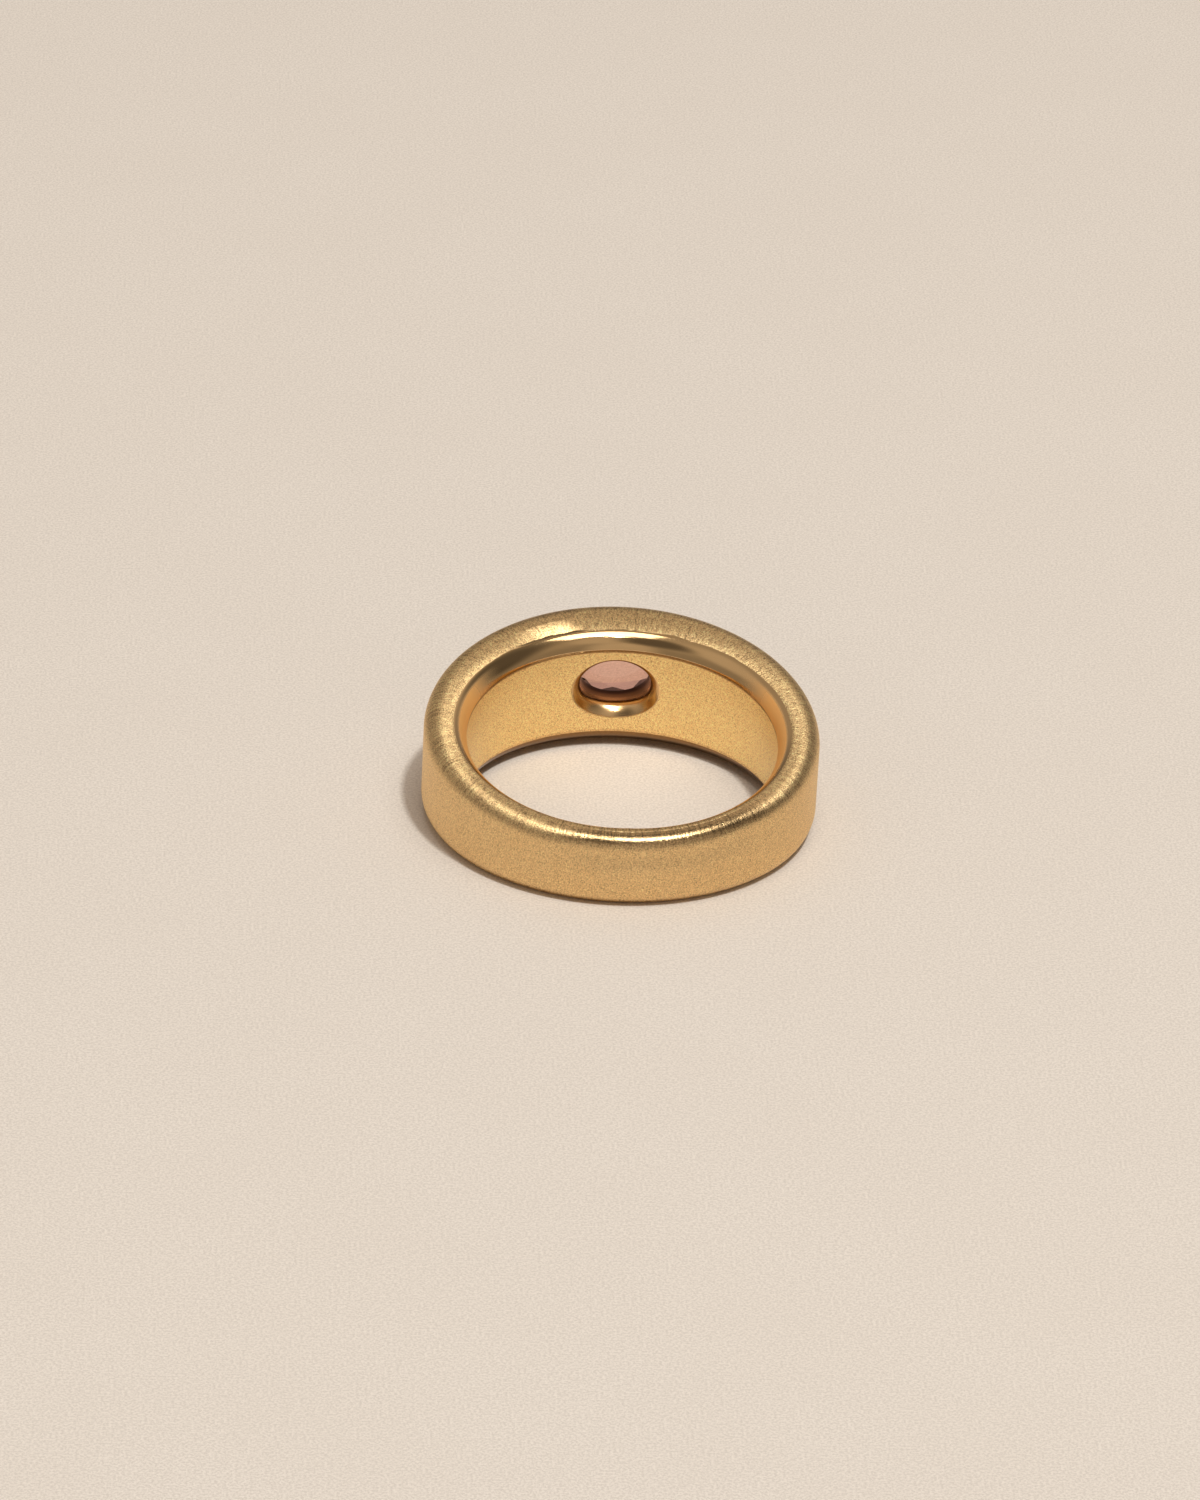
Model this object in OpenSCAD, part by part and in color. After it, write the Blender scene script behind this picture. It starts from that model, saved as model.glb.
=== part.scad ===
// Flush set ring, lying on its side on the plane z = 0.
// The finger hole runs nearly along Z, the head with the stone faces +Y.
// Everything is worked out in the ring's own frame, where the finger axis is Z and
// angles run round it from +Y at the head, and is then tipped onto its lower side face.

/* [Band] */
// Inside diameter of the finger hole
inner_d = 17.3; // [15:0.1:20]
// Thickness of the metal at the head
head_t = 3.7; // [3.6:0.05:4.2]
// Thickness of the metal at the bottom of the shank
shank_t = 2.05; // [1.8:0.05:2.6]
// How fast the thickness falls away from the head
taper_power = 2.5; // [2:0.1:4]
// Width of the band at the head
head_w = 8; // [7.4:0.1:8.8]
// Width of the band at the bottom of the shank
shank_w = 4.1; // [3.8:0.1:5]

/* [Edges] */
// Radius of the rounded outer edges at the head
head_round = 1.25; // [0.8:0.05:1.5]
// Radius of the rounded outer edges at the bottom of the shank
shank_round = 0.9; // [0.5:0.05:1.1]
// Slope that each domed side face reaches at the flare, in degrees
dome_end = 18; // [4:1:24]
// Radial reach of the polished flare at the head
flare_head = 0.76; // [0.6:0.02:0.9]
// Radial reach of the polished flare at the bottom of the shank
flare_shank = 0.55; // [0.4:0.05:0.65]

/* [Stone] */
// Length of the stone, along the band
stone_l = 5.1; // [4.8:0.1:5.4]
// Width of the stone, across the band
stone_w = 3.9; // [3.7:0.1:4.3]
// Size of the table as a share of the stone's outline
table_share = 0.76; // [0.6:0.02:0.76]
// Height of the girdle, the upright edge of the stone
girdle_h = 1; // [0.8:0.05:1.05]
// How deep the table lies below the crest of the head
table_sink = 0.1; // [0:0.02:0.14]

/* [Setting] */
// Depth of metal between the finger hole and the stone's ledge
seat_depth = 2.1; // [1.9:0.05:2.15]
// Width of the ledge that the stone lies on
ledge_w = 0.55; // [0.4:0.05:0.6]
// How far the window opens out towards the finger hole
window_flare = 0.5; // [0.3:0.02:0.6]
// How far the setting sits off the band's middle, towards the upper side face
setting_up = 0.15; // [0:0.05:0.3]
// Gap left between the stone and the metal
stone_gap = 0.04; // [0.03:0.01:0.06]

/* [Hidden] */

bore_r = inner_d / 2;
head_r = bore_r + head_t;
shank_r = bore_r + shank_t;

// Sections round the band, and steps along each part of a section
ring_steps = 96;
edge_steps = 7;
dome_steps = 3;
flare_steps = 5;

// The side faces rise to planes where half the width is mid_half + side_slope * y
side_slope = (head_w - shank_w) / 2 / (head_r + shank_r);
mid_half = shank_w / 2 + side_slope * shank_r;
tip_angle = atan(side_slope);

// Inside its rounded edge a side face has a narrow flat in that plane, on which the ring rests,
// and is domed from there to the flare. A thin section keeps at least this much dome.
ridge_flat = 0.3;
least_dome = 0.15;

// The flare is an arc that leaves the dome at a kink and meets the bore at a crease.
// These are its slopes there, and the slope to which the blank carries it on inside the bore.
flare_start = 24;
flare_end = 75;
flare_stop = 80;
// The flare's reach stays near that of the head for most of the way round
flare_power = 0.25;

// Levels of the setting along the head, measured from the finger axis
ledge_y = bore_r + seat_depth;
stone_y = ledge_y + stone_gap;
girdle_y = stone_y + girdle_h;
table_y = head_r - table_sink;
// The metal closes over the girdle by the lip and opens again to a bright bevel
lip_rise = 0.15;
lip_in = 0.06;
bevel_slope = 1;
// Depth of the window's mouth, where it opens out, and how sharply it does so
mouth_depth = 1.5;
mouth_power = 3;
// Depths of the mouth's sections, from inside the finger hole to the mouth's end
mouth_levels = [-0.1, 0.12, 0.26, 0.42, 0.62, 0.9, mouth_depth];
// Sides of the oval cuts, and corners of the stone's girdle
oval_steps = 48;
girdle_n = 16;
// Where the stone's star facets end, as a share of its outline
star_share = 0.86;

function blend(a, b, s) = a + (b - a) * s;

// 1 at the head and 0 at the bottom of the shank
function headness(a) = (1 + cos(a)) / 2;

function metal_t(a) = blend(shank_t, head_t, pow(headness(a), taper_power));

function flare_at(a) = blend(flare_shank, flare_head, pow(headness(a), flare_power));

function edge_at(a) = min(
    blend(shank_round, head_round, headness(a)),
    metal_t(a) - flare_at(a) - ridge_flat - least_dome
);

// Height of a side face's plane in the section at angle a, at radius r
function side_z(a, r) = mid_half + side_slope * cos(a) * r;

// Height of the centre of the rounded outer edge in the section at angle a
function edge_z(a) =
    side_z(a, bore_r + metal_t(a) - edge_at(a))
    - edge_at(a) * sqrt(1 + pow(side_slope * cos(a), 2));

// Angle through which the outer edge turns from the outer wall to the side face
function edge_turn(a) = 90 + atan(side_slope * cos(a));

// Inner end of the flat on a side face, and how far the dome runs from there to the flare
function ridge_r(a) =
    bore_r + metal_t(a) - edge_at(a) + edge_at(a) * cos(edge_turn(a)) - ridge_flat;

function dome_run(a) = ridge_r(a) - bore_r - flare_at(a);

// Height of the kink between the dome and the flare
function kink_z(a) = side_z(a, bore_r + flare_at(a)) - dome_run(a) * tan(dome_end / 2);

// Rounded outer edge, as [radius, height] from the outer wall up to the side face
function edge_points(a) =
    let (
        er = edge_at(a),
        r0 = bore_r + metal_t(a) - er,
        z0 = edge_z(a)
    )
    [
        for (i = [0:edge_steps])
            let (p = edge_turn(a) * i / edge_steps)
            [r0 + er * cos(p), z0 + er * sin(p)]
    ];

// Domed part of the side face, from the flat to just before the kink
function dome_points(a) =
    let (r0 = ridge_r(a), arc_r = dome_run(a) / sin(dome_end))
    [
        for (i = [0:dome_steps - 1])
            let (p = dome_end * i / dome_steps, r = r0 - arc_r * sin(p))
            [r, side_z(a, r) - arc_r * (1 - cos(p))]
    ];

// Flare from the kink down past the bore
function flare_points(a) =
    let (
        reach = flare_at(a),
        arc_r = reach / (sin(flare_end) - sin(flare_start)),
        r0 = bore_r + reach + arc_r * sin(flare_start),
        z0 = kink_z(a) - arc_r * cos(flare_start)
    )
    [
        for (i = [0:flare_steps])
            let (p = blend(flare_start, flare_stop, i / flare_steps))
            [r0 - arc_r * sin(p), z0 + arc_r * cos(p)]
    ];

function upper_half(a) = concat(edge_points(a), dome_points(a), flare_points(a));

// Whole section: the upper half, then its mirror image in the ring's middle plane
function section(a) =
    let (top = upper_half(a), n = len(top))
    concat(top, [for (i = [n - 1:-1:0]) [top[i][0], -top[i][1]]]);

section_n = 2 * (edge_steps + dome_steps + flare_steps + 2);

// Blank of the band: the sections carried round the finger axis
module band_blank() {
    points = [
        for (i = [0:ring_steps - 1])
            let (a = 360 * i / ring_steps)
            for (p = section(a)) [p[0] * sin(a), p[0] * cos(a), p[1]]
    ];
    faces = [
        for (i = [0:ring_steps - 1])
            let (row = i * section_n, next_row = ((i + 1) % ring_steps) * section_n)
            for (j = [0:section_n - 1])
                let (k = (j + 1) % section_n)
                for (f = [[row + j, next_row + j, next_row + k], [row + j, next_row + k, row + k]]) f
    ];
    polyhedron(points, faces, convexity = 6);
}

// Angle of corner j of an oval cut
function oval_angle(j) = 360 * (j + 0.5) / oval_steps;

// Level oval at height y along the head
function oval(y, half_l, half_w) =
    [for (j = [0:oval_steps - 1]) [half_l * cos(oval_angle(j)), y, half_w * sin(oval_angle(j))]];

// Solid through loops of oval_steps corners, stacked towards +Y; the two end loops are level
module loft(loops) {
    n = oval_steps;
    last = len(loops) - 1;
    points = [for (l = loops) for (p = l) p];
    sides = [
        for (i = [0:last - 1])
            let (row = i * n, next_row = row + n)
            for (j = [0:n - 1])
                let (k = (j + 1) % n)
                for (f = [[row + j, row + k, next_row + k], [row + j, next_row + k, next_row + j]]) f
    ];
    low_end = [for (j = [n - 1:-1:0]) j];
    high_end = [for (j = [0:n - 1]) last * n + j];
    polyhedron(points, concat([low_end, high_end], sides), convexity = 2);
}

// Half sizes of the window at the ledge
window_l = stone_l / 2 - ledge_w;
window_w = stone_w / 2 - ledge_w;

// Level of the finger hole's wall where the window's rim crosses it
function rim_y(a) = sqrt(pow(bore_r, 2) - pow((window_l + window_flare) * cos(a), 2));

// Loop of the window's wall at an even depth from its rim
function window_loop(depth) =
    let (out = window_flare * pow(max(1 - depth / mouth_depth, 0), mouth_power))
    [
        for (j = [0:oval_steps - 1])
            let (a = oval_angle(j))
            [(window_l + out) * cos(a), rim_y(a) + depth, (window_w + out) * sin(a)]
    ];

// Window from the finger hole to the ledge, with a rounded mouth that follows the hole's wall
module window_cut() {
    start = 0.9;
    overlap = 0.3;
    loft(concat(
        [oval(bore_r - start, window_l, window_w)],
        [for (depth = mouth_levels) window_loop(depth)],
        [oval(ledge_y + overlap, window_l, window_w)]
    ));
}

// Pocket for the stone: the girdle's seat, the lip over it and the bright bevel at the surface
module seat_cut() {
    half_l = stone_l / 2 + stone_gap;
    half_w = stone_w / 2 + stone_gap;
    lip_y = girdle_y + lip_rise;
    top_y = head_r + 0.6;
    out = bevel_slope * (top_y - lip_y) - lip_in;
    loft([
        oval(ledge_y, half_l, half_w),
        oval(girdle_y, half_l, half_w),
        oval(lip_y, half_l - lip_in, half_w - lip_in),
        oval(top_y, half_l + out, half_w + out)
    ]);
}

// Moves the setting off the band's middle
module set_up() {
    translate([0, 0, setting_up]) children();
}

module in_place() {
    // Reach of the tipped ring in Y, from the rounded edges of the head and of the shank
    high = (head_r - edge_at(0)) * cos(tip_angle) + edge_z(0) * sin(tip_angle) + edge_at(0);
    low = (shank_r - edge_at(180)) * cos(tip_angle) + edge_z(180) * sin(tip_angle) + edge_at(180);
    translate([0, (low - high) / 2, mid_half * cos(tip_angle)]) rotate([tip_angle, 0, 0]) children();
}

// Gold band with its head, flare, window and seat
module ring_band() {
    color("goldenrod") in_place() difference() {
        band_blank();
        // The cylinder starts at the shank, between two sections of the blank
        rotate([0, 0, 180 / ring_steps - 90])
            cylinder(h = 2 * head_w, r = bore_r, center = true, $fn = 180);
        set_up() window_cut();
        set_up() seat_cut();
    }
}

// Corner of the stone at an angle round it, its share of the outline and its level
function corner(a, share, y) = [stone_l / 2 * share * cos(a), y, stone_w / 2 * share * sin(a)];

// Oval stone: flat back, upright girdle, and a crown of 16 girdle, 8 main and 8 star facets
module stone() {
    mains = girdle_n / 2;
    turn = 360 / girdle_n;
    crown_h = table_y - girdle_y;
    // This level keeps each four-sided main facet flat
    star_y = girdle_y + crown_h * (1 - star_share * cos(turn)) / (1 - table_share);
    points = concat(
        [for (j = [0:girdle_n - 1]) corner(turn * j, 1, stone_y)],
        [for (j = [0:girdle_n - 1]) corner(turn * j, 1, girdle_y)],
        [for (j = [0:mains - 1]) corner(turn * 2 * j, star_share, star_y)],
        [for (j = [0:mains - 1]) corner(turn * (2 * j + 1), table_share, table_y)]
    );
    rim = girdle_n;
    star = 2 * girdle_n;
    table = star + mains;
    back = [[for (j = [girdle_n - 1:-1:0]) j]];
    girdle = [
        for (j = [0:girdle_n - 1])
            let (k = (j + 1) % girdle_n)
            [j, k, rim + k, rim + j]
    ];
    lower = [
        for (j = [0:mains - 1])
            let (g = 2 * j, before = (g + girdle_n - 1) % girdle_n)
            for (f = [[rim + before, rim + g, star + j], [rim + g, rim + g + 1, star + j]]) f
    ];
    main = [
        for (j = [0:mains - 1])
            [rim + 2 * j + 1, star + (j + 1) % mains, table + j, star + j]
    ];
    upper = [
        for (j = [0:mains - 1])
            [star + j, table + j, table + (j + mains - 1) % mains]
    ];
    top = [[for (j = [0:mains - 1]) table + j]];
    color("lightpink") in_place() set_up()
        polyhedron(points, concat(back, girdle, lower, main, upper, top), convexity = 2);
}

ring_band();
stone();
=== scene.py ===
"""Dresses the flush set ring: the gold band, its pink stone, and the stage round them.

The band is worked out with the same formulas as the solid it stands for, on a finer
grid and with its small edges rounded. Lengths inside the formulas are millimetres.
"""

import bpy
import numpy as np
from mathutils import Matrix, Vector


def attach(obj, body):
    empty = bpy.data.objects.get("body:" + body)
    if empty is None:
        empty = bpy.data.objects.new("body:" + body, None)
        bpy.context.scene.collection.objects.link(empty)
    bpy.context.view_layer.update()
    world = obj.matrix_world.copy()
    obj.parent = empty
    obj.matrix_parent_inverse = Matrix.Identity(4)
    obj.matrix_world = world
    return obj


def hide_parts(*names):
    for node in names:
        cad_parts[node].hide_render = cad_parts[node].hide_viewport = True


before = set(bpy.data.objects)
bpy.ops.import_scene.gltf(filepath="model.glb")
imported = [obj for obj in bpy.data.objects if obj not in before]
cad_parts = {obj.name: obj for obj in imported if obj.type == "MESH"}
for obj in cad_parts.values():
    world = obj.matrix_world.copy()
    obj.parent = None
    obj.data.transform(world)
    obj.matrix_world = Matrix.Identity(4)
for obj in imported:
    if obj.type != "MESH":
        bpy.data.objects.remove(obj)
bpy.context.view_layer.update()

MM = 0.001
FRAME_SIZE = (1200, 1500)   # pixels of the photograph

bl_info = {
    "name": "Flush set ring",
    "version": (1, 0, 0),
    "blender": (4, 5, 0),
    "location": "3D View > Sidebar > Ring",
    "description": "Builds a tapered satin gold ring with a flush set oval stone",
    "category": "Object",
}


# Settings

def length(label, text, default):
    """A length in metres, for the panel."""
    return bpy.props.FloatProperty(
        name=label, description=text, default=default, min=0.0, unit="LENGTH", precision=5)


def share(label, text, default):
    """A plain share between 0 and 1, for the panel."""
    return bpy.props.FloatProperty(
        name=label, description=text, default=default, min=0.0, max=1.0, subtype="FACTOR")


def colour(label, text, default):
    """A colour, for the panel."""
    return bpy.props.FloatVectorProperty(
        name=label, description=text, default=default, min=0.0, max=1.0, size=3, subtype="COLOR")


def turn(label, text, degrees):
    """An angle, for the panel."""
    return bpy.props.FloatProperty(
        name=label, description=text, default=np.radians(degrees), subtype="ANGLE")


class BandSettings(bpy.types.PropertyGroup):
    """Sizes and finish of the gold band."""
    inner_d: length("Inside diameter", "Diameter of the finger hole", 0.0173)
    head_t: length("Head thickness", "Thickness of the metal at the head", 0.0037)
    shank_t: length(
        "Shank thickness", "Thickness of the metal at the bottom of the shank", 0.00205)
    head_w: length("Head width", "Width of the band at the head", 0.008)
    shank_w: length("Shank width", "Width of the band at the bottom of the shank", 0.0041)
    head_round: length("Head edge", "Radius of the outer edges at the head", 0.00125)
    shank_round: length("Shank edge", "Radius of the outer edges at the shank", 0.0009)
    dome_end: turn("Dome", "Slope that each domed side face reaches at the flare", 18)
    flare_head: length("Head flare", "Radial reach of the polished flare at the head", 0.00076)
    flare_shank: length("Shank flare", "Radial reach of the polished flare at the shank", 0.00055)
    gold: colour("Gold", "Colour of the gold outside", (0.83, 0.57, 0.285))
    # Painted light: the gold in the finger hole is a brighter, more saturated copy of the gold,
    # for the light thrown round inside the band
    lit_inner_gold: colour("Inner gold", "Colour of the gold in the finger hole", (0.98, 0.64, 0.285))
    satin: share("Satin roughness", "Roughness of the brushed outside", 0.44)
    brushing: share(
        "Brushing", "How much more the brushed gold spreads light along the band", 0.75)
    inner_satin: share("Inner roughness", "Roughness of the wall of the finger hole", 0.30)
    polish: share("Polish roughness", "Roughness of the polished flare", 0.08)
    window_polish: share("Window roughness", "Roughness of the window's wall", 0.17)


class StoneSettings(bpy.types.PropertyGroup):
    """Sizes and look of the stone, which the seat in the band follows."""
    stone_l: length("Length", "Length of the stone along the band", 0.0051)
    stone_w: length("Width", "Width of the stone across the band", 0.0039)
    girdle_h: length("Girdle", "Height of the stone's upright edge", 0.001)
    ledge_w: length("Ledge", "Width of the ledge that the stone lies on", 0.00055)
    seat_depth: length("Seat depth", "Metal between the finger hole and the ledge", 0.0021)
    window_flare: length("Window flare", "How far the window opens out at the finger hole", 0.0005)
    setting_up: length("Setting", "How far the setting sits off the band's middle", 0.00015)
    stone_gap: length("Gap", "Gap between the stone and the metal", 0.00004)
    pink: colour("Pink", "Colour of the stone", (0.86, 0.53, 0.42))


class StageSettings(bpy.types.PropertyGroup):
    """Floor, lights and camera."""
    floor: colour("Floor", "Colour of the floor", (0.805, 0.745, 0.674))
    azimuth: turn("Camera azimuth", "Turn of the camera round the ring", -3.38)
    elevation: turn("Camera elevation", "Height of the camera above the horizon", 27.36)
    roll: turn("Camera roll", "Turn of the camera about its own line of sight", 2.74)
    distance: length("Camera distance", "Distance from the camera to the ring", 0.45)


# Shader maths

class Number:
    """A node's output with Python's arithmetic on it: each sign adds one Math node."""

    def __init__(self, tree, out):
        self.tree = tree
        self.out = out

    def __add__(self, other):
        return self.tree.math("ADD", self, other)

    def __sub__(self, other):
        return self.tree.math("SUBTRACT", self, other)

    def __mul__(self, other):
        return self.tree.math("MULTIPLY", self, other)

    def __rsub__(self, other):
        return self.tree.math("SUBTRACT", other, self)

    def __pow__(self, other):
        return self.tree.math("POWER", self, other)

    def __rpow__(self, other):
        return self.tree.math("POWER", other, self)

    __radd__ = __add__
    __rmul__ = __mul__

    def least(self, other):
        """The smaller of the two."""
        return self.tree.math("MINIMUM", self, other)

    def most(self, other):
        """The larger of the two."""
        return self.tree.math("MAXIMUM", self, other)

    def rise(self, start, end):
        """0 before start, 1 after end, and a smooth slope between them."""
        return self.tree.add(
            "ShaderNodeMapRange", {"interpolation_type": "SMOOTHSTEP"},
            {"Value": self, "From Min": start, "From Max": end})


class Tree:
    """A node tree, with one way in for every node."""

    def __init__(self, owner):
        owner.use_nodes = True
        self.tree = owner.node_tree
        self.tree.nodes.clear()

    def add(self, kind, settings=None, sockets=None, out=0):
        """Adds a node, makes its settings, then sets or links its sockets; returns one output."""
        node = self.tree.nodes.new(kind)
        for name, value in (settings or {}).items():
            setattr(node, name, value)
        for name, value in (sockets or {}).items():
            socket = self.find(node, name)
            if isinstance(value, Number):
                self.tree.links.new(value.out, socket)
            else:
                socket.default_value = value
        if len(node.outputs) == 0:
            return None
        return Number(self, node.outputs[out])

    def find(self, node, name):
        """The input with that identifier, or else with that name."""
        for socket in node.inputs:
            if socket.identifier == name:
                return socket
        return node.inputs[name]

    def math(self, operation, a, b):
        """One Math node on two numbers."""
        return self.add("ShaderNodeMath", {"operation": operation}, {"Value": a, "Value_001": b})

    def noise(self, where, scale, detail=2.0, rough=0.5):
        """Noise about 0.5, at so many features a metre."""
        return self.add(
            "ShaderNodeTexNoise", None,
            {"Vector": where, "Scale": scale, "Detail": detail, "Roughness": rough})

    def mix(self, share_of_b, a, b, blend_type="MIX"):
        """Colour a, turning to colour b."""
        return self.add(
            "ShaderNodeMix", {"data_type": "RGBA", "blend_type": blend_type},
            {"Factor_Float": share_of_b, "A_Color": a, "B_Color": b}, out=2)

    def vector(self, operation, a, b=(0.0, 0.0, 0.0), out=0):
        """One Vector Math node; output 0 is a vector and output 1 a number."""
        return self.add(
            "ShaderNodeVectorMath", {"operation": operation}, {"Vector": a, "Vector_001": b}, out)

    def split(self, vector):
        """The three numbers of a vector."""
        node = self.add("ShaderNodeSeparateXYZ", None, {"Vector": vector}).out.node
        return [Number(self, out) for out in node.outputs]

    def join(self, x, y, z):
        """A vector of three numbers."""
        return self.add("ShaderNodeCombineXYZ", None, {"X": x, "Y": y, "Z": z})

    def attribute(self, name):
        """A number kept on the piece's own vertices."""
        return self.add("ShaderNodeAttribute", {"attribute_name": name}, out=2)

    def place(self):
        """Object coordinates, in metres."""
        return self.add("ShaderNodeTexCoord", out=3)


def tinted(tone, *parts):
    """A colour for a socket, with its red, green and blue each times a part."""
    return (*(value * part for value, part in zip(tone, parts or (1.0, 1.0, 1.0))), 1.0)


# Shapes

def blend(a, b, s):
    """The value at a share s of the way from a to b."""
    return a + (b - a) * s


def smooth(value, start, end):
    """0 before start, 1 after end, and a smooth slope between them."""
    t = np.clip((value - start) / (end - start), 0, 1)
    return t * t * (3 - 2 * t)


class BandShape:
    """The band's surface in its own frame: Z is the finger axis, the head faces +Y, and angles
    run round Z from the head towards +X. The sizes follow the solid's source, apart from the
    last five: the wear of the upper edge and where it starts and ends, as parts of X in the
    direction from the axis, and the radii that soften rims and inner corners."""

    taper_power = 2.5
    flare_power = 0.25
    flare_start = np.radians(24)
    flare_end = np.radians(75)
    ridge_flat = 0.3
    least_dome = 0.15
    lip_rise = 0.15
    lip_in = 0.06
    bevel_slope = 1.0
    window_power = 3.0
    mouth_depth = 1.5
    wear_depth = 0.22
    wear_left = (-0.5, -0.15)
    wear_right = (0.55, 0.85)
    soft = 0.06
    corner = 0.03

    def __init__(self, band, stone):
        self.bore_r = band.inner_d / MM / 2
        self.head_t = band.head_t / MM
        self.shank_t = band.shank_t / MM
        self.head_r = self.bore_r + self.head_t
        self.shank_r = self.bore_r + self.shank_t
        self.head_w = band.head_w / MM
        self.shank_w = band.shank_w / MM
        self.head_round = band.head_round / MM
        self.shank_round = band.shank_round / MM
        self.dome_end = band.dome_end
        self.flare_head = band.flare_head / MM
        self.flare_shank = band.flare_shank / MM
        self.slope = (self.head_w - self.shank_w) / 2 / (self.head_r + self.shank_r)
        self.mid_half = self.shank_w / 2 + self.slope * self.shank_r
        self.tip = np.arctan(self.slope)
        self.gap = stone.stone_gap / MM
        self.setting_up = stone.setting_up / MM
        self.half_l = stone.stone_l / MM / 2
        self.half_w = stone.stone_w / MM / 2
        self.ledge_w = stone.ledge_w / MM
        self.seat_depth = stone.seat_depth / MM
        self.window_flare = stone.window_flare / MM
        self.ledge_y = self.bore_r + self.seat_depth
        self.girdle_y = self.ledge_y + self.gap + stone.girdle_h / MM
        self.lip_y = self.girdle_y + self.lip_rise
        high = self.reach_y(0.0, self.head_r, 1)
        low = self.reach_y(np.pi, self.shank_r, 1)
        self.shift_y = (low - high) / 2
        self.lift = self.mid_half * np.cos(self.tip)

    def reach_y(self, angle, r, sign):
        """How far the tipped band reaches along Y from the finger axis, at one end."""
        e = self.edge(angle)
        return (r - e) * np.cos(self.tip) + sign * self.edge_z(angle) * np.sin(self.tip) + e

    def headness(self, angle):
        """1 at the head and 0 at the bottom of the shank: half of one plus the cosine."""
        return (1 + np.cos(angle)) / 2

    def metal(self, angle):
        """Thickness: from the shank's to the head's, by a power of the headness."""
        return blend(self.shank_t, self.head_t, self.headness(angle) ** self.taper_power)

    def flare(self, angle):
        """Radial reach of the flare: shank's to head's, by a power of the headness."""
        return blend(self.flare_shank, self.flare_head, self.headness(angle) ** self.flare_power)

    def flare_r(self, angle):
        """Radius of the flare's own arc, which turns to a steeper slope on its reach."""
        return self.flare(angle) / (np.sin(self.flare_end) - np.sin(self.flare_start))

    def edge(self, angle):
        """Radius of the outer edge: a straight blend by the headness, as far as there is room."""
        wide = blend(self.shank_round, self.head_round, self.headness(angle))
        room = self.metal(angle) - self.flare(angle) - self.ridge_flat - self.least_dome
        return np.minimum(wide, room)

    def edge_turn(self, angle):
        """Angle through which the outer edge turns from the outer wall to the side face."""
        return np.pi / 2 + np.arctan(self.slope * np.cos(angle))

    def ridge_r(self, angle):
        """Radius at which the side face's narrow flat ends and its dome begins."""
        e = self.edge(angle)
        side_r = self.bore_r + self.metal(angle) - e + e * np.cos(self.edge_turn(angle))
        return side_r - self.ridge_flat

    def dome_run(self, angle):
        """How far the dome runs inwards, from the flat to the flare."""
        return self.ridge_r(angle) - self.bore_r - self.flare(angle)

    def kink_z(self, angle):
        """Height of the kink between dome and flare: the plane's height less the arc's drop, which
        is its run times the tangent of half its end slope."""
        drop = self.dome_run(angle) * np.tan(self.dome_end / 2)
        return self.side_z(angle, self.bore_r + self.flare(angle)) - drop

    def side_z(self, angle, r):
        """Height of the side face's plane: its middle half width plus the slope times Y."""
        return self.mid_half + self.slope * np.cos(angle) * r

    def edge_z(self, angle):
        """Height of the centre of the outer edge's arc, which touches the side face."""
        e = self.edge(angle)
        rake = self.slope * np.cos(angle)
        return self.side_z(angle, self.bore_r + self.metal(angle) - e) - e * np.sqrt(1 + rake ** 2)

    def crease_z(self, angle):
        """Height of the crease between the flare and the finger hole."""
        drop = self.flare_r(angle) * (np.cos(self.flare_start) - np.cos(self.flare_end))
        return self.kink_z(angle) - drop

    def wear(self, angle):
        """Share of wear of the upper outer edge, full at the front and to the right of it."""
        side = np.sin(angle)
        share = smooth(side, *self.wear_left) * (1 - smooth(side, *self.wear_right))
        return np.where(np.cos(angle) < 0, share, 0.0)

    def section(self, angle, across):
        """Radius and height at an angle round the band and a place across it. From 0 to 1 across
        is the outer wall, to 2 the arc of the outer edge, to 3 the side face's narrow flat, to 4
        its dome, to 5 the arc of the flare, and to 6 the finger hole's wall; negative places are
        the lower half."""
        angle, across = np.broadcast_arrays(angle, across)
        side = np.abs(across)
        e = self.edge(angle)
        r0 = self.bore_r + self.metal(angle) - e
        edge_z = self.edge_z(angle)
        arc = self.edge_turn(angle) * np.clip(side - 1, 0, 1)
        ridge_r = self.ridge_r(angle)
        flat_r = ridge_r + self.ridge_flat * (1 - np.clip(side - 2, 0, 1))
        tilt = self.dome_end * np.clip(side - 3, 0, 1)
        dome_arc = self.dome_run(angle) / np.sin(self.dome_end)
        dome_r = ridge_r - dome_arc * np.sin(tilt)
        bend = blend(self.flare_start, self.flare_end, np.clip(side - 4, 0, 1))
        flare_r = self.flare_r(angle)
        flare_z = self.kink_z(angle) - flare_r * np.cos(self.flare_start)
        kink_r = self.bore_r + self.flare(angle)
        parts = [side <= 1, side <= 2, side <= 3, side <= 4, side <= 5]
        r = np.select(parts, [
            r0 + e, r0 + e * np.cos(arc), flat_r, dome_r,
            kink_r - flare_r * (np.sin(bend) - np.sin(self.flare_start))], self.bore_r)
        z = np.select(parts, [
            side * edge_z, edge_z + e * np.sin(arc), self.side_z(angle, flat_r),
            self.side_z(angle, dome_r) - dome_arc * (1 - np.cos(tilt)),
            flare_z + flare_r * np.cos(bend)], self.crease_z(angle) * (6 - side))
        # Wear moves the edge inwards, rising up the outer wall and falling off over the flat
        off = self.wear_depth * self.wear(angle)
        off = off * smooth(across, 0.0, 1.1) * (1 - smooth(across, 2, 3))
        return r - off, z * np.sign(across)

    def surface(self, angle, across):
        """Points of the band's surface: X and Y are the section's radius times the sine and the
        cosine of the angle, and Z is its height."""
        r, z = self.section(angle, across)
        return np.stack([r * np.sin(angle), r * np.cos(angle), z], -1)

    def rim_level(self, phi):
        """Level of the finger hole's wall where the window's rim crosses it."""
        return np.sqrt(self.bore_r ** 2 - ((self.half_l - self.ledge_w + self.window_flare)
                                           * np.cos(phi)) ** 2)

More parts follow.
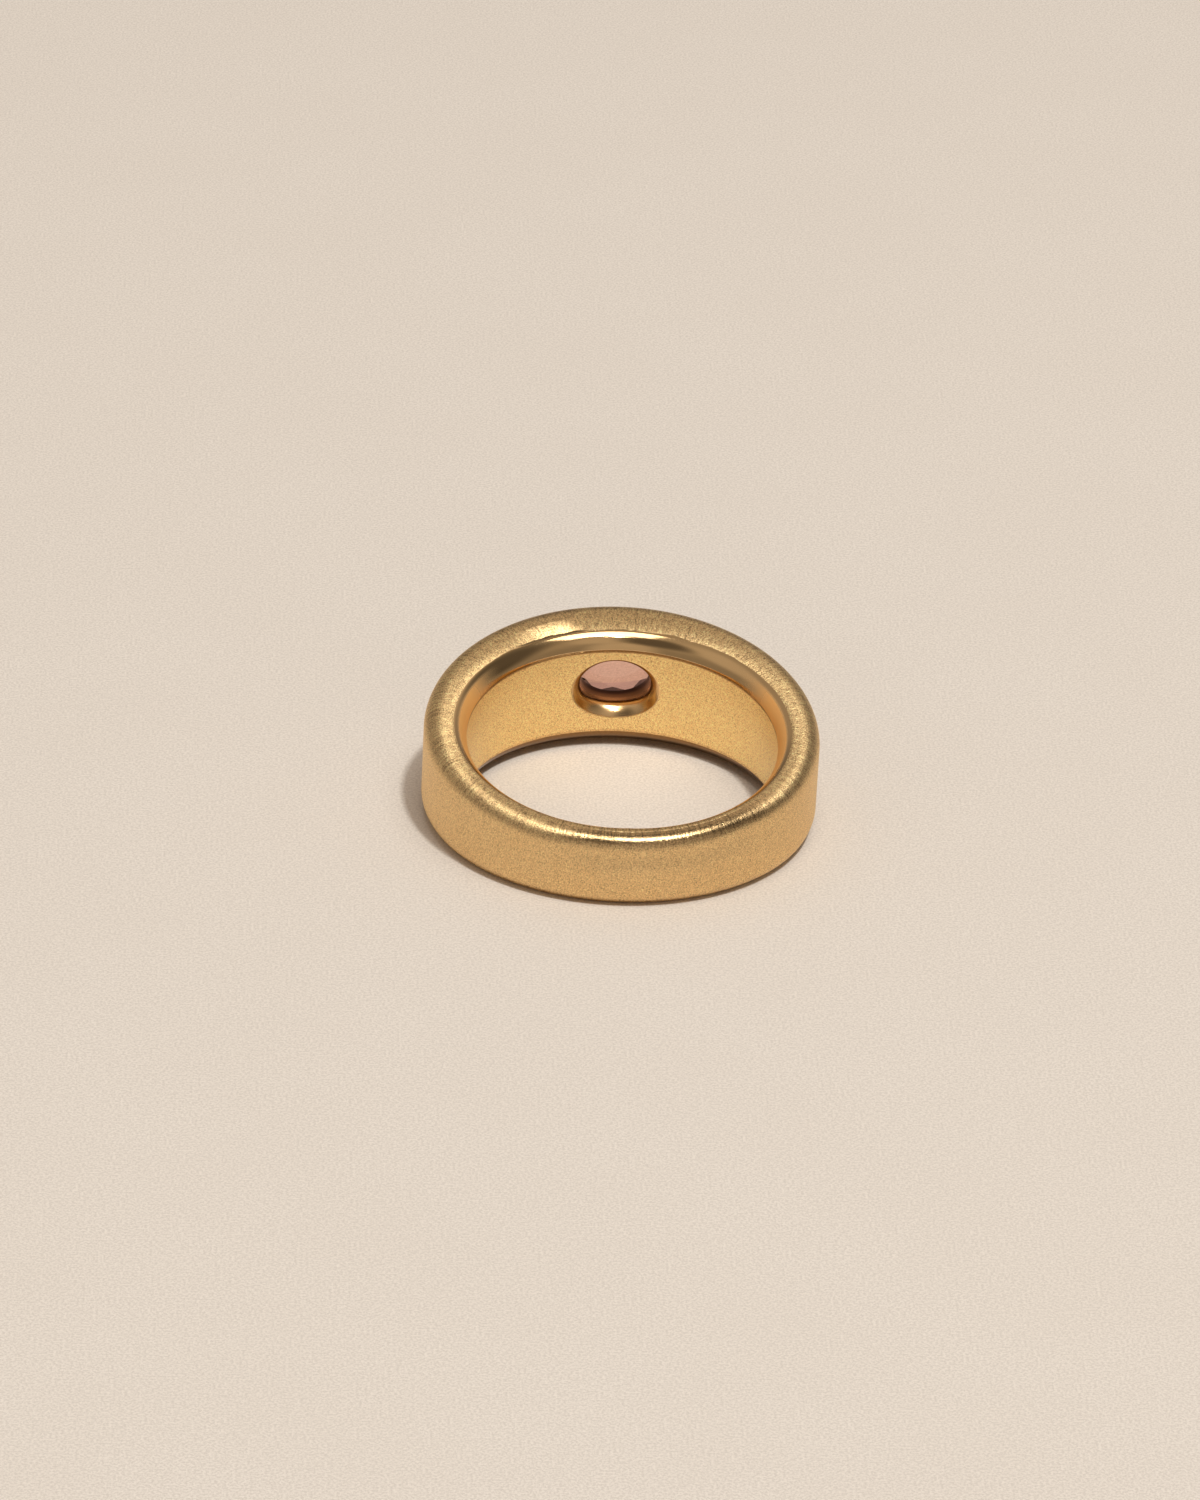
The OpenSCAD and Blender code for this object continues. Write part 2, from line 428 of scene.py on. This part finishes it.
    def window(self, phi, depth):
        """Wall of the window at an angle round it and a depth from its rim: an oval that opens out
        near the rim, by a power of what is left of the mouth's depth."""
        mouth = np.maximum(1 - depth / self.mouth_depth, 0) ** self.window_power
        out = self.window_flare * mouth
        return np.stack([
            (self.half_l - self.ledge_w + out) * np.cos(phi), self.rim_level(phi) + depth,
            (self.half_w - self.ledge_w + out) * np.sin(phi) + self.setting_up], -1)

    def seat(self, phi, y, grow=0.0):
        """Point of the pocket's oval at a level, wider than the stone and its gap by grow."""
        return np.stack([
            (self.half_l + self.gap + grow) * np.cos(phi), y + 0 * phi,
            (self.half_w + self.gap + grow) * np.sin(phi) + self.setting_up], -1)

    def outward(self, phi):
        """Direction away from the stone's oval: the cosine over half its length and the sine over
        half its width, brought to a length of one."""
        way = np.stack([np.cos(phi) / self.half_l, np.sin(phi) / self.half_w], -1)
        return way / np.linalg.norm(way, axis=-1, keepdims=True)

    def bevel(self, phi, y):
        """Bevel round the stone: the lip's oval, opening out evenly up to the outer wall."""
        return self.seat(phi, y, self.bevel_slope * (y - self.lip_y) - self.lip_in)

    def bevel_rim(self, phi):
        """Level at which the bevel meets the outer wall, found by halving."""
        low, high = np.full_like(phi, self.lip_y), np.full_like(phi, self.head_r + 0.5)
        for _ in range(40):
            mid = (low + high) / 2
            p = self.bevel(phi, mid)
            wall = self.bore_r + self.metal(np.arctan2(p[..., 0], p[..., 1]))
            inside = np.hypot(p[..., 0], p[..., 1]) < wall
            low, high = np.where(inside, mid, low), np.where(inside, high, mid)
        return (low + high) / 2

    def in_place(self, p):
        """Tips the band about X onto its lower side face, then shifts it along Y and lifts it into
        place, in metres."""
        y = p[..., 1] * np.cos(self.tip) - p[..., 2] * np.sin(self.tip) + self.shift_y
        z = p[..., 1] * np.sin(self.tip) + p[..., 2] * np.cos(self.tip) + self.lift
        return np.stack([p[..., 0], y, z], -1) * MM


def steps(*parts):
    """A rising row of places, each part given as (end, cells), from 0."""
    places, start = [np.zeros(1)], 0.0
    for end, cells in parts:
        places.append(np.linspace(start, end, cells + 1)[1:])
        start = end
    return np.concatenate(places)


def rounded(before, corner, after, cells=5):
    """Loops that round a corner: the curve (1-t)^2 before + 2t(1-t) corner + t^2 after."""
    return [(1 - t) ** 2 * before + 2 * t * (1 - t) * corner + t ** 2 * after
            for t in np.linspace(0, 1, cells + 1)]


def round_angle(edge):
    """Angle of each vertex of a block's edge round the oval, with both reaches brought to one."""
    return np.arctan2(edge[:, 2] / edge[:, 2].max(), edge[:, 0] / edge[:, 0].max())


# Values of the tunnel's vertices. The place across is one on the finger hole's wall and round
# the rim, and another past it. The depth rises to the first of these two along the window's
# wall, and is the second from the ledge to the bevel.
IN_BORE, IN_WALL = 6.0, 0.5
WALL_END, SEAT_DEPTH = 1.9, 2.0


def window_rows(shape, phi, edge, angle):
    """Rows of the tunnel from the edge of the window's block over the finger hole's wall, round
    the rim and up to the ledge, each as (points, place across, depth)."""
    rim = shape.window(phi, 0.0)
    x, z = (rim[:, (0, 2)] + shape.soft * shape.outward(phi)).T
    near = np.stack([x, np.sqrt(shape.bore_r ** 2 - x ** 2), z], -1)
    near_a = np.arctan2(x, near[:, 1])
    near_v = z / shape.crease_z(near_a)
    edge_v = edge[:, 2] / shape.crease_z(angle)
    rows = []
    for t in (0.25, 0.5, 0.72, 0.9):
        a, v = blend(angle, near_a, t), blend(edge_v, near_v, t)
        wall = np.stack([shape.bore_r * np.sin(a), shape.bore_r * np.cos(a),
                         v * shape.crease_z(a)], -1)
        rows.append((wall, IN_BORE, blend(-1.0, -shape.soft, t)))
    turn_in = rounded(near, rim, shape.window(phi, shape.soft), 4)
    depths = np.linspace(-shape.soft, shape.soft, len(turn_in))
    rows += [(points, IN_BORE, depth) for points, depth in zip(turn_in, depths)]
    depths = np.linspace(shape.soft, shape.mouth_depth, 11)[1:]
    rows += [(shape.window(phi, depth), IN_WALL, depth) for depth in depths]
    to_ledge = shape.ledge_y - shape.rim_level(phi)
    for t in (0.12, 0.35, 0.65):
        wall = shape.window(phi, blend(shape.mouth_depth, to_ledge - shape.corner, t))
        rows.append((wall, IN_WALL, blend(shape.mouth_depth, WALL_END, t)))
    return rows


def seat_rows(shape, phi, edge, angle, across):
    """Rows of the tunnel from the ledge under the stone up the wall of the seat, over the lip
    above the girdle and the bevel, to the edge of the seat's block."""
    phi_s = round_angle(edge)
    phi_mid = np.angle(np.exp(1j * phi) + np.exp(1j * phi_s))
    to_ledge = shape.ledge_y - shape.rim_level(phi)
    small = 0.05        # from a corner to the loop that ends its rounding
    mid_ledge = -0.2    # from the seat's wall to the loop on the ledge
    inside = rounded(
        shape.window(phi, to_ledge - shape.corner), shape.window(phi, to_ledge),
        shape.seat(phi, shape.ledge_y, -shape.gap - shape.ledge_w + small), 3)
    inside.append(shape.seat(phi_mid, shape.ledge_y, mid_ledge))
    inside.append(shape.seat(phi_s, shape.ledge_y, -shape.corner))
    inside += [shape.seat(phi_s, level) for level in (
        shape.ledge_y, shape.ledge_y + shape.corner,
        shape.girdle_y - shape.corner, shape.girdle_y)]
    lip, above_lip = shape.bevel(phi_s, shape.lip_y), shape.lip_y + small
    inside += rounded(blend(shape.seat(phi_s, shape.girdle_y), lip, 0.8), lip,
                      shape.bevel(phi_s, above_lip), 3)
    y_rim = shape.bevel_rim(phi_s)
    inside += [shape.bevel(phi_s, blend(above_lip, y_rim - shape.soft, t))
               for t in (0.25, 0.5, 0.75)]
    rows = [(points, IN_WALL, SEAT_DEPTH) for points in inside]
    rim = shape.bevel(phi_s, y_rim)
    x, z = (rim[:, (0, 2)] + shape.soft * shape.outward(phi_s)).T
    near_a = np.arctan2(x, rim[:, 1])
    for _ in range(4):
        near_a = np.arcsin(x / (shape.bore_r + shape.metal(near_a)))
    near_v = z / shape.edge_z(near_a)
    turn_out = rounded(shape.bevel(phi_s, y_rim - shape.soft), rim,
                       shape.surface(near_a, near_v), 5)
    depths = np.linspace(shape.soft, -shape.soft, len(turn_out))
    rows += [(points, IN_WALL, depth) for points, depth in zip(turn_out, depths)]
    for t in (0.1, 0.28, 0.5, 0.75):
        skin = shape.surface(blend(near_a, angle, t), blend(near_v, across, t))
        rows.append((skin, IN_WALL, blend(-shape.soft, -1.0, t)))
    return rows


def band_mesh(shape):
    """Vertices, quads and vertex values of the band. The skin is a grid of angle by place
    across, closed both ways, with a block of cells left out at the window and one at the seat.
    A tunnel of loops joins the edges of the two blocks. The values are "across", the place
    across without its sign; "under", 1 on the lower half; and "depth", over 0 on the walls of
    the window, seat and bevel and under 0 elsewhere."""
    around = 384
    # Cells are finer near the creases, where one part of the section meets the next
    half = steps((0.97, 9), (1.03, 2), (1.97, 12), (2.1, 2), (3.0, 2), (3.9, 8), (4.1, 4),
                 (4.94, 14), (5.06, 4), (6.0, 14))
    across = np.concatenate([-half[::-1], half[1:-1]])
    count = len(across)
    middle = len(half) - 1
    angle = 2 * np.pi * np.arange(around) / around
    skin = shape.surface(angle[:, None], across[None, :]).reshape(-1, 3)
    index = np.arange(around * count).reshape(around, count)
    i, j = np.meshgrid(np.arange(around), np.arange(count), indexing="ij")
    i2, j2 = (i + 1) % around, (j + 1) % count
    quads = np.stack([index[i, j], index[i, j2], index[i2, j2], index[i2, j]], -1)

    # Half sizes of the two blocks in cells; their edges have the same number of vertices
    wide_w, high_w, wide_s, high_s = 23, 12, 18, 17
    i_off = (i + around // 2) % around - around // 2
    j_off = (j + count // 2) % count - count // 2
    in_window = (i_off >= -wide_w) & (i_off < wide_w) & (j_off >= -high_w) & (j_off < high_w)
    j_off = j - middle
    in_seat = (i_off >= -wide_s) & (i_off < wide_s) & (j_off >= -high_s) & (j_off < high_s)
    quads = quads[~(in_window | in_seat)]

    def block_edge(wide, high, centre, sign):
        """Grid indexes and angles round a block, from its corner at -Z and +X, first towards
        +Z."""
        a = np.concatenate([np.full(2 * high, wide), np.arange(wide, -wide, -1),
                            np.full(2 * high, -wide), np.arange(-wide, wide)])
        z = np.concatenate([np.arange(-high, high), np.full(2 * wide, high),
                            np.arange(high, -high, -1), np.full(2 * wide, -high)])
        return index[a % around, (centre + sign * z) % count], a * 2 * np.pi / around

    edge_w, angle_w = block_edge(wide_w, high_w, 0, -1)
    edge_s, angle_s = block_edge(wide_s, high_s, middle, 1)
    phi = round_angle(skin[edge_w])
    rows = window_rows(shape, phi, skin[edge_w], angle_w)
    rows += seat_rows(shape, phi, skin[edge_s], angle_s, across[edge_s % count])
    loops, row_across, row_depth = zip(*rows)

    n, cells = len(phi), around * count
    grid = cells + np.arange(len(loops) * n).reshape(-1, n)
    grid = np.concatenate([edge_w[None], grid, edge_s[None]])
    k = np.arange(n)
    k2 = (k + 1) % n
    tunnel = np.stack([grid[:-1, k], grid[:-1, k2], grid[1:, k2], grid[1:, k]], -1)
    used, quads = np.unique(np.concatenate([quads, tunnel.reshape(-1, 4)]), return_inverse=True)
    points = np.concatenate([skin, *loops])
    values = {
        "across": np.concatenate([np.tile(np.abs(across), around), np.repeat(row_across, n)]),
        "under": np.concatenate([np.tile(across < 0, around), np.zeros(len(loops) * n)]),
        "depth": np.concatenate([np.full(cells, -1.0), np.repeat(row_depth, n)])}
    return points[used], quads.reshape(-1, 4), {key: row[used] for key, row in values.items()}


def make_piece(name, points, faces, values=None):
    """A smooth mesh object at the origin from arrays of points and faces, with vertex values."""
    mesh = bpy.data.meshes.new(name)
    corners = faces.shape[1]
    mesh.vertices.add(len(points))
    mesh.vertices.foreach_set("co", points.astype(np.float32).ravel())
    mesh.loops.add(faces.size)
    mesh.loops.foreach_set("vertex_index", faces.astype(np.int32).ravel())
    mesh.polygons.add(len(faces))
    mesh.polygons.foreach_set("loop_start", np.arange(0, faces.size, corners, dtype=np.int32))
    mesh.update(calc_edges=True)
    mesh.validate()
    for key, row in (values or {}).items():
        layer = mesh.attributes.new(key, "FLOAT", "POINT")
        layer.data.foreach_set("value", row.astype(np.float32))
    mesh.polygons.foreach_set("use_smooth", np.ones(len(mesh.polygons), dtype=bool))
    piece = bpy.data.objects.new(name, mesh)
    bpy.context.collection.objects.link(piece)
    return piece


# Materials

def gold_material(band, shape):
    """Yellow gold: brushed satin outside, finer satin in the finger hole, and polish on the flare
    and in the window. The masks rise and fall between places across the band, depths in the
    window, or parts of the direction from the finger axis."""
    material = bpy.data.materials.new("satin_gold")
    t = Tree(material)
    place = t.place()
    centred = t.add("ShaderNodeMapping", {"vector_type": "POINT"}, {
        "Vector": place, "Location": (0.0, -shape.shift_y * MM, 0.0)})
    x, y, z = t.split(centred)
    # Strokes of the brush run across the band, so they depend on the direction from its axis
    right, back, _ = t.split(t.vector("NORMALIZE", t.join(x, y, 0.0)))
    left, front = 0 - right, 0 - back
    stroke_r = 0.010    # radius on which the strokes are laid out, in metres
    run = z * 0.12 + 0.1 * (x * x + y * y) ** 0.5
    strokes = t.noise(t.join(right * stroke_r, back * stroke_r, run), 5200.0, 3.0, 0.6) - 0.5
    hairs = t.noise(t.join(right * stroke_r, back * stroke_r, run * 2.0), 11000.0, 1.0) - 0.5
    grain = t.noise(place, 11000.0, 2.0, 0.6) - 0.5
    speckle = t.noise(place, 22000.0, 1.0) - 0.5
    cloud = t.noise(place, 420.0, 3.0)
    wander = t.noise(place, 900.0) - 0.5

    across = t.attribute("across")
    upper = 1 - t.attribute("under")
    depth = t.attribute("depth")
    in_hole = depth.rise(-0.02, 0.02)
    past_crease = across.rise(4.985, 5.015)
    flare = (across - (3.98 + wander * 0.2)).rise(-0.06, 0.06) * (1 - past_crease)
    bore = past_crease * (1 - in_hole)
    polished = flare.most(in_hole)
    outside = (1 - polished) * (1 - bore)
    rim = across.rise(1.0, 1.7) * outside
    # The upper outer edge is worn where the shape has its wear, and the lower part of it is
    # darkened as a painted dark reflection
    worn_and_dark_reflection = right.rise(*shape.wear_left) * (1 - right.rise(*shape.wear_right))
    worn_and_dark_reflection = worn_and_dark_reflection * front.rise(0.0, 0.2) * upper
    worn_and_dark_reflection = worn_and_dark_reflection * across.rise(1.1, 1.5) * (1 - across.rise(2.1, 2.9))
    # A patch left of the stone where the kink of the flare is rubbed round, its colour a little
    # darkened as painted shade
    rubbed_and_shaded = left.rise(0.16, 0.34) * (1 - left.rise(0.46, 0.66)) * back.rise(0.3, 0.6)
    rubbed_and_shaded = rubbed_and_shaded * upper * outside
    # The inner half of the flare is dull away from the stone; its orange, less metallic colour
    # there is a painted reflection of the gold wall of the finger hole
    dull_and_wall_reflection = flare * (1 - back.rise(0.30, 0.66)) * across.rise(4.15, 4.35) * upper

    height = outside * (strokes * 1.1 + grain * 1.2 + speckle * 0.6)
    height = height + rim * hairs * 1.3
    height = height + bore * (grain * 0.8 + speckle * 0.6 + strokes * 0.3)
    height = height + polished * grain * 0.06
    height = height * (1 - 0.5 * worn_and_dark_reflection)
    # Rubbing turns the dome down towards the flare, and opens the window's mouth a little more
    height = height - rubbed_and_shaded * 27.0 * (across - 3.1).most(0.0).least(0.9)
    height = height + in_hole * 22.0 * depth.rise(-0.1, 1.4)
    bump = t.add("ShaderNodeBump", None, {
        "Height": height, "Strength": 1.0, "Distance": 0.012 * MM})

    rough = outside * (band.satin + grain * 0.16 + (cloud - 0.5) * 0.04)
    rough = rough + rim * strokes * 0.2 - worn_and_dark_reflection * 0.22 - rubbed_and_shaded * 0.04
    rough = rough - 0.07 * rim * right.rise(0.3, 0.55) * (1 - worn_and_dark_reflection)
    rough = rough + bore * (band.inner_satin + grain * 0.12)
    rough = rough + flare * (band.polish + grain * 0.03) + dull_and_wall_reflection * 0.25
    deep_satin = 0.16 * depth.rise(0.9, 1.5)
    rough = rough + in_hole * (band.window_polish + deep_satin + grain * 0.05)

    painted_shade_tone = (0.20, 0.095, 0.03)
    ledge_shade_tone = (0.05, 0.022, 0.012)
    wall_reflection_tone = (0.90, 0.46, 0.14)
    tone = t.mix(cloud.rise(0.3, 0.7), tinted(band.gold, 0.98, 0.97, 0.95), tinted(band.gold))
    # Painted light: a brighter, more saturated copy of the gold in the finger hole, for the light
    # thrown round inside the band
    tone = t.mix(bore, tone, tinted(band.lit_inner_gold))
    # Painted shade and dark reflections: darker on the lower flare, deep in the window under the
    # stone and along the crease
    painted_shade = flare * (1 - upper) * 0.90
    under_stone = in_hole * (1 - y.rise(10.85 * MM, 11.0 * MM))
    painted_shade = painted_shade.most(under_stone * depth.rise(0.7, 1.6) * 0.72)
    crease = across.rise(4.95, 4.985) * (1 - across.rise(5.03, 5.07))
    painted_shade = painted_shade.most(crease * (0.3 + 0.5 * upper))
    tone = t.mix(painted_shade, tone, tinted(painted_shade_tone))
    # Painted shade: nearly black where the window's wall meets the ledge under the stone
    ledge_shade = under_stone * depth.rise(1.5, 1.75)
    tone = t.mix(ledge_shade * 0.85, tone, tinted(ledge_shade_tone))
    # Painted reflection: the orange of the gold wall on the dull part of the flare
    tone = t.mix(dull_and_wall_reflection, tone, tinted(wall_reflection_tone))
    # Each grain and stroke catches a little more or less light
    catch = 1 + grain * (0.9 * outside + 0.9 * bore + 0.7 * rim)
    catch = catch + speckle * (2.0 * outside + 2.2 * bore)
    catch = catch + rim * (hairs * 1.3 + strokes * 0.5)
    # Painted shade: darker on the lower part of the worn edge, as a dark reflection, and a little
    # on the rubbed patch
    catch = catch * (1 - 0.52 * worn_and_dark_reflection * across.rise(1.3, 1.6) - 0.08 * rubbed_and_shaded)
    tone = t.mix(1.0, tone, t.join(catch, catch, catch), "MULTIPLY")
    shader = t.add("ShaderNodeBsdfPrincipled", None, {
        "Base Color": tone, "Metallic": 1 - 0.75 * dull_and_wall_reflection, "Roughness": rough, "Normal": bump,
        "Anisotropic": band.brushing})
    t.add("ShaderNodeOutputMaterial", None, {"Surface": shader})
    return material


def stone_material(stone, shape):
    """Clear pink stone, whose flat back has a strip of painted shade along its lower side, for the
    darker view through the stone's lower facets.
    """
    material = bpy.data.materials.new("pink_stone")
    t = Tree(material)
    place = t.place()
    level = t.add("ShaderNodeMapping", {"vector_type": "TEXTURE"}, {
        "Vector": place, "Location": (0.0, shape.shift_y * MM, shape.lift * MM),
        "Rotation": (float(shape.tip), 0.0, 0.0), "Scale": (MM, MM, MM)})
    x, y, z = t.split(level)
    cloud = t.noise(place, 1500.0)
    tone = t.mix(cloud.rise(0.3, 0.7), tinted(stone.pink, 0.98, 0.96, 0.97), tinted(stone.pink))
    # The painted shade strip ends at a shallow curve, at heights given from the middle of the band
    shade_strip_z = (x + 0.9) * (x + 0.9) * 0.04 - 0.77
    shade_strip = (1 - (z - shade_strip_z).rise(-0.015, 0.015)) * (1 - (y - shape.ledge_y).rise(0.1, 0.2))
    tone = t.mix(shade_strip, tone, tinted(stone.pink, 0.78, 0.74, 0.88))
    shader = t.add("ShaderNodeBsdfPrincipled", None, {
        "Base Color": tone, "Roughness": 0.015, "IOR": 1.54, "Transmission Weight": 1.0})
    t.add("ShaderNodeOutputMaterial", None, {"Surface": shader})
    return material


def floor_material(stage):
    """Smooth pale paper with a faint tooth."""
    material = bpy.data.materials.new("pale_paper")
    t = Tree(material)
    place = t.place()
    tooth = t.noise(place, 7000.0, 3.0, 0.7)
    cloud = t.noise(place, 90.0, 3.0)
    tone = t.mix(cloud.rise(0.3, 0.7), tinted(stage.floor, 1.055, 1.05, 1.045),
                 tinted(stage.floor, 1.07, 1.07, 1.07))
    tone = t.mix(tooth.rise(0.35, 0.65), tone, tinted(stage.floor, 0.86, 0.85, 0.84))
    bump = t.add("ShaderNodeBump", None, {
        "Height": tooth, "Strength": 0.25, "Distance": 0.05 * MM})
    shader = t.add("ShaderNodeBsdfPrincipled", None, {
        "Base Color": tone, "Roughness": 0.8, "Specular IOR Level": 0.2, "Normal": bump})
    t.add("ShaderNodeOutputMaterial", None, {"Surface": shader})
    return material


# Operators

class RING_OT_band(bpy.types.Operator):
    """Builds the gold band over its solid."""
    bl_idname = "flush_ring.band"
    bl_label = "Band"

    def execute(self, context):
        scene = context.scene
        shape = BandShape(scene.ring_band, scene.ring_stone)
        points, quads, values = band_mesh(shape)
        piece = make_piece("band", shape.in_place(points), quads, values)
        piece.data.materials.append(gold_material(scene.ring_band, shape))
        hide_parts("ring_band")
        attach(piece, "root")
        return {"FINISHED"}


class RING_OT_stone(bpy.types.Operator):
    """Gives the cut stone its clear pink material."""
    bl_idname = "flush_ring.stone"
    bl_label = "Stone"

    def execute(self, context):
        scene = context.scene
        material = stone_material(scene.ring_stone, BandShape(scene.ring_band, scene.ring_stone))
        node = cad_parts["stone"]
        for slot in node.material_slots:
            slot.material = material
        return {"FINISHED"}


class RING_OT_stage(bpy.types.Operator):
    """Lays the floor, hangs the lights and sets the camera."""
    bl_idname = "flush_ring.stage"
    bl_label = "Stage"

    def execute(self, context):
        scene = context.scene
        stage = scene.ring_stage
        shape = BandShape(scene.ring_band, scene.ring_stone)
        lay_floor(stage)
        light_world(scene)
        hang_lights()
        set_camera(scene, stage, Vector((0.0, shape.shift_y * MM, 0.0)))
        scene.view_settings.view_transform = "Standard"
        scene.view_settings.look = "None"
        return {"FINISHED"}


def lay_floor(stage):
    """A level square of paper, far wider than the view and just under the ring."""
    side = np.linspace(-1, 1, 9)
    x, y = np.meshgrid(side, side, indexing="ij")
    points = np.stack([x, y, np.full_like(x, -0.01 * MM)], -1).reshape(-1, 3)
    index = np.arange(x.size).reshape(x.shape)
    quads = np.stack([index[:-1, :-1], index[1:, :-1], index[1:, 1:], index[:-1, 1:]], -1)
    floor = make_piece("floor", points, quads.reshape(-1, 4))
    floor.data.materials.append(floor_material(stage))


def light_world(scene):
    """Soft light from all round, with the darker and paler parts of the room."""
    world = bpy.data.worlds.new("studio")
    scene.world = world
    t = Tree(world)
    way = t.add("ShaderNodeTexCoord", out=0)
    z = t.split(way)[2]
    # Each part of the room as strength, azimuth, elevation, inner and outer angle
    pale = (
        (0.40, 78, 49, 8, 30),      # window behind the ring
        (0.22, -90, 8, 8, 30),      # pale floor towards the camera
        (0.15, 191, 47, 8, 28),     # pale wall on the left
        (0.14, -72, 44, 6, 20),     # pale wall beside the camera
    )
    dark = (
        (0.66, -114, 46, 9, 25),    # the camera's own dark side
        (0.70, 4, 38, 15, 38),      # unlit room on the right
        (0.45, 90, 20, 10, 30),     # dark end of the room behind
    )
    # Even light, a little stronger from above, and nowhere under the least
    even, from_above, least = 0.27, 0.08, 0.03
    level = even + from_above * z.rise(0.2, 0.6)
    for strength, *part in pale:
        level = level + strength * facing(t, way, *part)
    for strength, *part in dark:
        level = level * (1 - strength * facing(t, way, *part))
    glow = t.add("ShaderNodeBackground", None, {
        "Color": (1.0, 0.87, 0.76, 1.0), "Strength": level.most(least)})
    t.add("ShaderNodeOutputWorld", None, {"Surface": glow})


def direction(azimuth, elevation):
    """Unit vector at an azimuth from +X towards +Y and an elevation, in degrees."""
    a, e = np.radians(azimuth), np.radians(elevation)
    return Vector((np.cos(a) * np.cos(e), np.sin(a) * np.cos(e), np.sin(e)))


def facing(tree, way, azimuth, elevation, inner, outer):
    """1 within the inner angle of a direction and 0 outside the outer one, in degrees."""
    lean = tree.vector("DOT_PRODUCT", way, direction(azimuth, elevation), out=1)
    return lean.rise(float(np.cos(np.radians(outer))), float(np.cos(np.radians(inner))))


def hang_light(data, azimuth, elevation, distance, target=(0.0, 0.0, 0.0)):
    """Puts a light at a distance from a target and turns it to the target, with its first side
    level."""
    way = direction(azimuth, elevation)
    side = (Vector((1.0, 0.0, 0.0)) - way * way.x).normalized()
    turned = Matrix((side, way.cross(side), way)).transposed().to_4x4()
    lamp = bpy.data.objects.new(data.name, data)
    lamp.matrix_world = Matrix.Translation(Vector(target) + way * distance) @ turned
    bpy.context.collection.objects.link(lamp)


def area_light(name, size, power, tint):
    """A rectangular light: its two sides in metres, its power in watts and its colour."""
    data = bpy.data.lights.new(name, "AREA")
    data.shape = "RECTANGLE"
    data.size, data.size_y = size
    data.energy = power
    data.color = tint
    return data


def hang_lights():
    """A small key light high on the right, inside a wide soft box above the camera, and a weak
    spot for the light that the inside of the band throws on the floor in the finger hole."""
    key = area_light("key_light", (0.098, 0.098), 9.0, (1.0, 1.0, 0.98))
    hang_light(key, azimuth=-61.0, elevation=68.0, distance=1.4)
    soft_box = area_light("soft_box", (0.90, 0.58), 5.2, (1.0, 0.95, 0.90))
    hang_light(soft_box, azimuth=-62.0, elevation=75.0, distance=1.5)
    spot = bpy.data.lights.new("hole_light", "SPOT")
    spot.energy = 0.65
    spot.color = (1.0, 0.88, 0.74)
    spot.spot_size = np.radians(2.7)
    spot.spot_blend = 0.8
    spot.shadow_soft_size = 0.004
    hang_light(spot, azimuth=-84.0, elevation=62.0, distance=0.3, target=(0.0005, 0.0065, 0.0))


def set_camera(scene, stage, target):
    """A long lens at the ring, turned a little so that the ring falls where the photograph has
    it."""
    place = (618.43, 818.85)    # pixels from the frame's upper left to the target
    scale = 17.92 / MM          # pixels a metre at the target
    sensor = 36.0
    focal = scale * stage.distance
    middle = (FRAME_SIZE[0] / 2, FRAME_SIZE[1] / 2)
    a, e, roll = stage.azimuth, stage.elevation, stage.roll
    ahead = Vector((-np.sin(a) * np.cos(e), np.cos(a) * np.cos(e), -np.sin(e)))
    right = Vector((np.cos(a), np.sin(a), 0.0))
    up = right.cross(ahead)
    right, up = (right * np.cos(roll) + up * np.sin(roll),
                 up * np.cos(roll) - right * np.sin(roll))
    aim = ahead + right * ((middle[0] - place[0]) / focal) + up * ((place[1] - middle[1]) / focal)
    aim.normalize()
    right = (right - aim * right.dot(aim)).normalized()
    up = right.cross(aim)
    turned = Matrix((right, up, -aim)).transposed().to_4x4()
    data = bpy.data.cameras.new("camera")
    data.sensor_width = sensor
    data.lens = focal * sensor / max(FRAME_SIZE)
    data.clip_start = 0.01
    data.clip_end = 20.0
    camera = bpy.data.objects.new("camera", data)
    camera.matrix_world = Matrix.Translation(target - ahead * stage.distance) @ turned
    bpy.context.collection.objects.link(camera)
    scene.camera = camera


class RING_PT_panel(bpy.types.Panel):
    """Lists the sizes, colours and steps in the sidebar."""
    bl_label = "Flush set ring"
    bl_space_type = "VIEW_3D"
    bl_region_type = "UI"
    bl_category = "Ring"

    def draw(self, context):
        scene = context.scene
        for step, group in ((RING_OT_band, scene.ring_band), (RING_OT_stone, scene.ring_stone),
                            (RING_OT_stage, scene.ring_stage)):
            box = self.layout.box()
            for key in type(group).__annotations__:
                box.prop(group, key)
            box.operator(step.bl_idname)


GROUPS = {"ring_band": BandSettings, "ring_stone": StoneSettings, "ring_stage": StageSettings}
CLASSES = (*GROUPS.values(), RING_OT_band, RING_OT_stone, RING_OT_stage, RING_PT_panel)


def register():
    """Adds the classes and their settings."""
    for one in CLASSES:
        bpy.utils.register_class(one)
    for key, group in GROUPS.items():
        setattr(bpy.types.Scene, key, bpy.props.PointerProperty(type=group))


def unregister():
    """Takes away what register added."""
    for key in GROUPS:
        delattr(bpy.types.Scene, key)
    for one in reversed(CLASSES):
        bpy.utils.unregister_class(one)


def main():
    """Builds everything."""
    register()
    bpy.ops.flush_ring.band()
    bpy.ops.flush_ring.stone()
    bpy.ops.flush_ring.stage()


if __name__ == "__main__":
    main()
